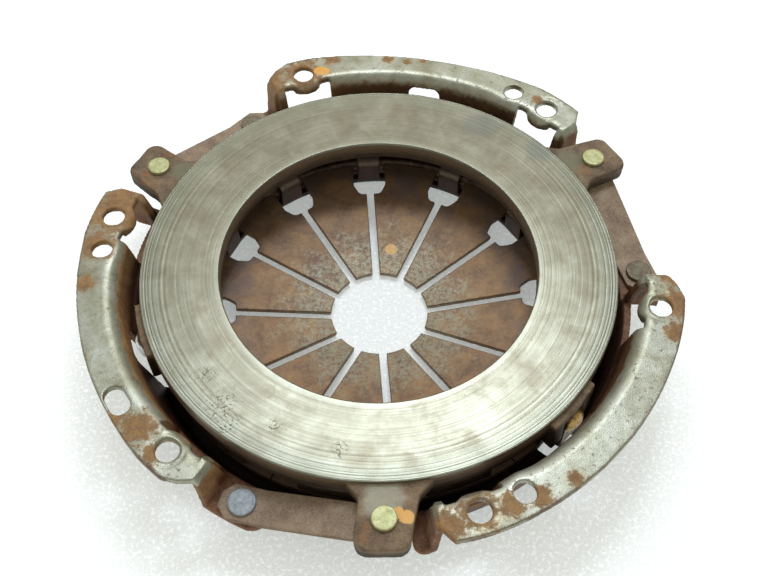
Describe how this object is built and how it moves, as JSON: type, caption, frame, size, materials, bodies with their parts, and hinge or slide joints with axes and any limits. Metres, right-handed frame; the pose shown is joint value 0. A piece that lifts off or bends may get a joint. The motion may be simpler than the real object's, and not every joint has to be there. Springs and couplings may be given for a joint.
{
  "type": "clutch pressure plate",
  "caption": "Diaphragm-spring clutch pressure plate: stamped cover, sliding friction plate, spring fingers and drive straps.",
  "frame": {"origin": "centre of the flywheel mounting plane, the top face of the cover's pads, on the axis of rotation", "axes": "+Z along the axis of rotation towards the flywheel; +X and +Y in the mounting plane, with the first lug 30.2 degrees from +X towards +Y"},
  "size_m": [0.2409, 0.2395, 0.0414],
  "materials": {
    "cover_steel": "satin, partly rusted",
    "cast_iron": "ground face, rusted sides",
    "spring_steel": "rust-brown film",
    "strap_steel": "rust-brown film",
    "wire_steel": "dark",
    "clip_steel": "dark",
    "zinc_rivet": "yellow zinc",
    "plain_rivet": "dull zinc"
  },
  "bodies": {
    "cover": {"cover": "cover_steel", "upper_pivot_wire": "wire_steel", "lower_pivot_wire": "wire_steel", "cover_rivets": "plain_rivet", "drive_strap_1_leaf_1": "strap_steel", "drive_strap_1_leaf_2": "strap_steel", "drive_strap_1_leaf_3": "strap_steel", "drive_strap_2_leaf_1": "strap_steel", "drive_strap_2_leaf_2": "strap_steel", "drive_strap_2_leaf_3": "strap_steel", "drive_strap_3_leaf_1": "strap_steel", "drive_strap_3_leaf_2": "strap_steel", "drive_strap_3_leaf_3": "strap_steel"},
    "pressure_plate": {"pressure_plate": "cast_iron", "lug_rivets": "zinc_rivet", "lifting_clips": "clip_steel", "clip_rivets": "plain_rivet"},
    "finger_01": {"diaphragm_finger_01": "spring_steel"},
    "finger_02": {"diaphragm_finger_02": "spring_steel"},
    "finger_03": {"diaphragm_finger_03": "spring_steel"},
    "finger_04": {"diaphragm_finger_04": "spring_steel"},
    "finger_05": {"diaphragm_finger_05": "spring_steel"},
    "finger_06": {"diaphragm_finger_06": "spring_steel"},
    "finger_07": {"diaphragm_finger_07": "spring_steel"},
    "finger_08": {"diaphragm_finger_08": "spring_steel"},
    "finger_09": {"diaphragm_finger_09": "spring_steel"},
    "finger_10": {"diaphragm_finger_10": "spring_steel"},
    "finger_11": {"diaphragm_finger_11": "spring_steel"},
    "finger_12": {"diaphragm_finger_12": "spring_steel"}
  },
  "joints": [
    {"name": "plate_travel", "type": "slide", "parent": "cover", "child": "pressure_plate", "axis": [0, 0, 1], "range_m": [-0.0048, 0], "stiffness_N_per_m": 100000, "deforming": ["drive_strap_1_leaf_1", "drive_strap_1_leaf_2", "drive_strap_1_leaf_3", "drive_strap_2_leaf_1", "drive_strap_2_leaf_2", "drive_strap_2_leaf_3", "drive_strap_3_leaf_1", "drive_strap_3_leaf_2", "drive_strap_3_leaf_3"]},
    {"name": "finger_01_tilt", "type": "hinge", "parent": "cover", "child": "finger_01", "pos_m": [0.07154, 0.02333, -0.02985], "axis": [-0.31, 0.9507, 0], "range_deg": [0, 18.5]},
    {"name": "finger_02_tilt", "type": "hinge", "parent": "cover", "child": "finger_02", "pos_m": [0.05029, 0.05597, -0.02985], "axis": [-0.7438, 0.6684, 0], "range_deg": [0, 18.5]},
    {"name": "finger_03_tilt", "type": "hinge", "parent": "cover", "child": "finger_03", "pos_m": [0.01557, 0.07362, -0.02985], "axis": [-0.9784, 0.2069, 0], "range_deg": [0, 18.5]},
    {"name": "finger_04_tilt", "type": "hinge", "parent": "cover", "child": "finger_04", "pos_m": [-0.02333, 0.07154, -0.02985], "axis": [-0.9507, -0.31, 0], "range_deg": [0, 18.5]},
    {"name": "finger_05_tilt", "type": "hinge", "parent": "cover", "child": "finger_05", "pos_m": [-0.05597, 0.05029, -0.02985], "axis": [-0.6684, -0.7438, 0], "range_deg": [0, 18.5]},
    {"name": "finger_06_tilt", "type": "hinge", "parent": "cover", "child": "finger_06", "pos_m": [-0.07362, 0.01557, -0.02985], "axis": [-0.2069, -0.9784, 0], "range_deg": [0, 18.5]},
    {"name": "finger_07_tilt", "type": "hinge", "parent": "cover", "child": "finger_07", "pos_m": [-0.07154, -0.02333, -0.02985], "axis": [0.31, -0.9507, 0], "range_deg": [0, 18.5]},
    {"name": "finger_08_tilt", "type": "hinge", "parent": "cover", "child": "finger_08", "pos_m": [-0.05029, -0.05597, -0.02985], "axis": [0.7438, -0.6684, 0], "range_deg": [0, 18.5]},
    {"name": "finger_09_tilt", "type": "hinge", "parent": "cover", "child": "finger_09", "pos_m": [-0.01557, -0.07362, -0.02985], "axis": [0.9784, -0.2069, 0], "range_deg": [0, 18.5]},
    {"name": "finger_10_tilt", "type": "hinge", "parent": "cover", "child": "finger_10", "pos_m": [0.02333, -0.07154, -0.02985], "axis": [0.9507, 0.31, 0], "range_deg": [0, 18.5]},
    {"name": "finger_11_tilt", "type": "hinge", "parent": "cover", "child": "finger_11", "pos_m": [0.05597, -0.05029, -0.02985], "axis": [0.6684, 0.7438, 0], "range_deg": [0, 18.5]},
    {"name": "finger_12_tilt", "type": "hinge", "parent": "cover", "child": "finger_12", "pos_m": [0.07362, -0.01557, -0.02985], "axis": [0.2069, 0.9784, 0], "range_deg": [0, 18.5]}
  ],
  "couplings": [
    {"joint": "finger_01_tilt", "follows": "plate_travel", "rad_per_m": -67},
    {"joint": "finger_02_tilt", "follows": "plate_travel", "rad_per_m": -67},
    {"joint": "finger_03_tilt", "follows": "plate_travel", "rad_per_m": -67},
    {"joint": "finger_04_tilt", "follows": "plate_travel", "rad_per_m": -67},
    {"joint": "finger_05_tilt", "follows": "plate_travel", "rad_per_m": -67},
    {"joint": "finger_06_tilt", "follows": "plate_travel", "rad_per_m": -67},
    {"joint": "finger_07_tilt", "follows": "plate_travel", "rad_per_m": -67},
    {"joint": "finger_08_tilt", "follows": "plate_travel", "rad_per_m": -67},
    {"joint": "finger_09_tilt", "follows": "plate_travel", "rad_per_m": -67},
    {"joint": "finger_10_tilt", "follows": "plate_travel", "rad_per_m": -67},
    {"joint": "finger_11_tilt", "follows": "plate_travel", "rad_per_m": -67},
    {"joint": "finger_12_tilt", "follows": "plate_travel", "rad_per_m": -67}
  ]
}
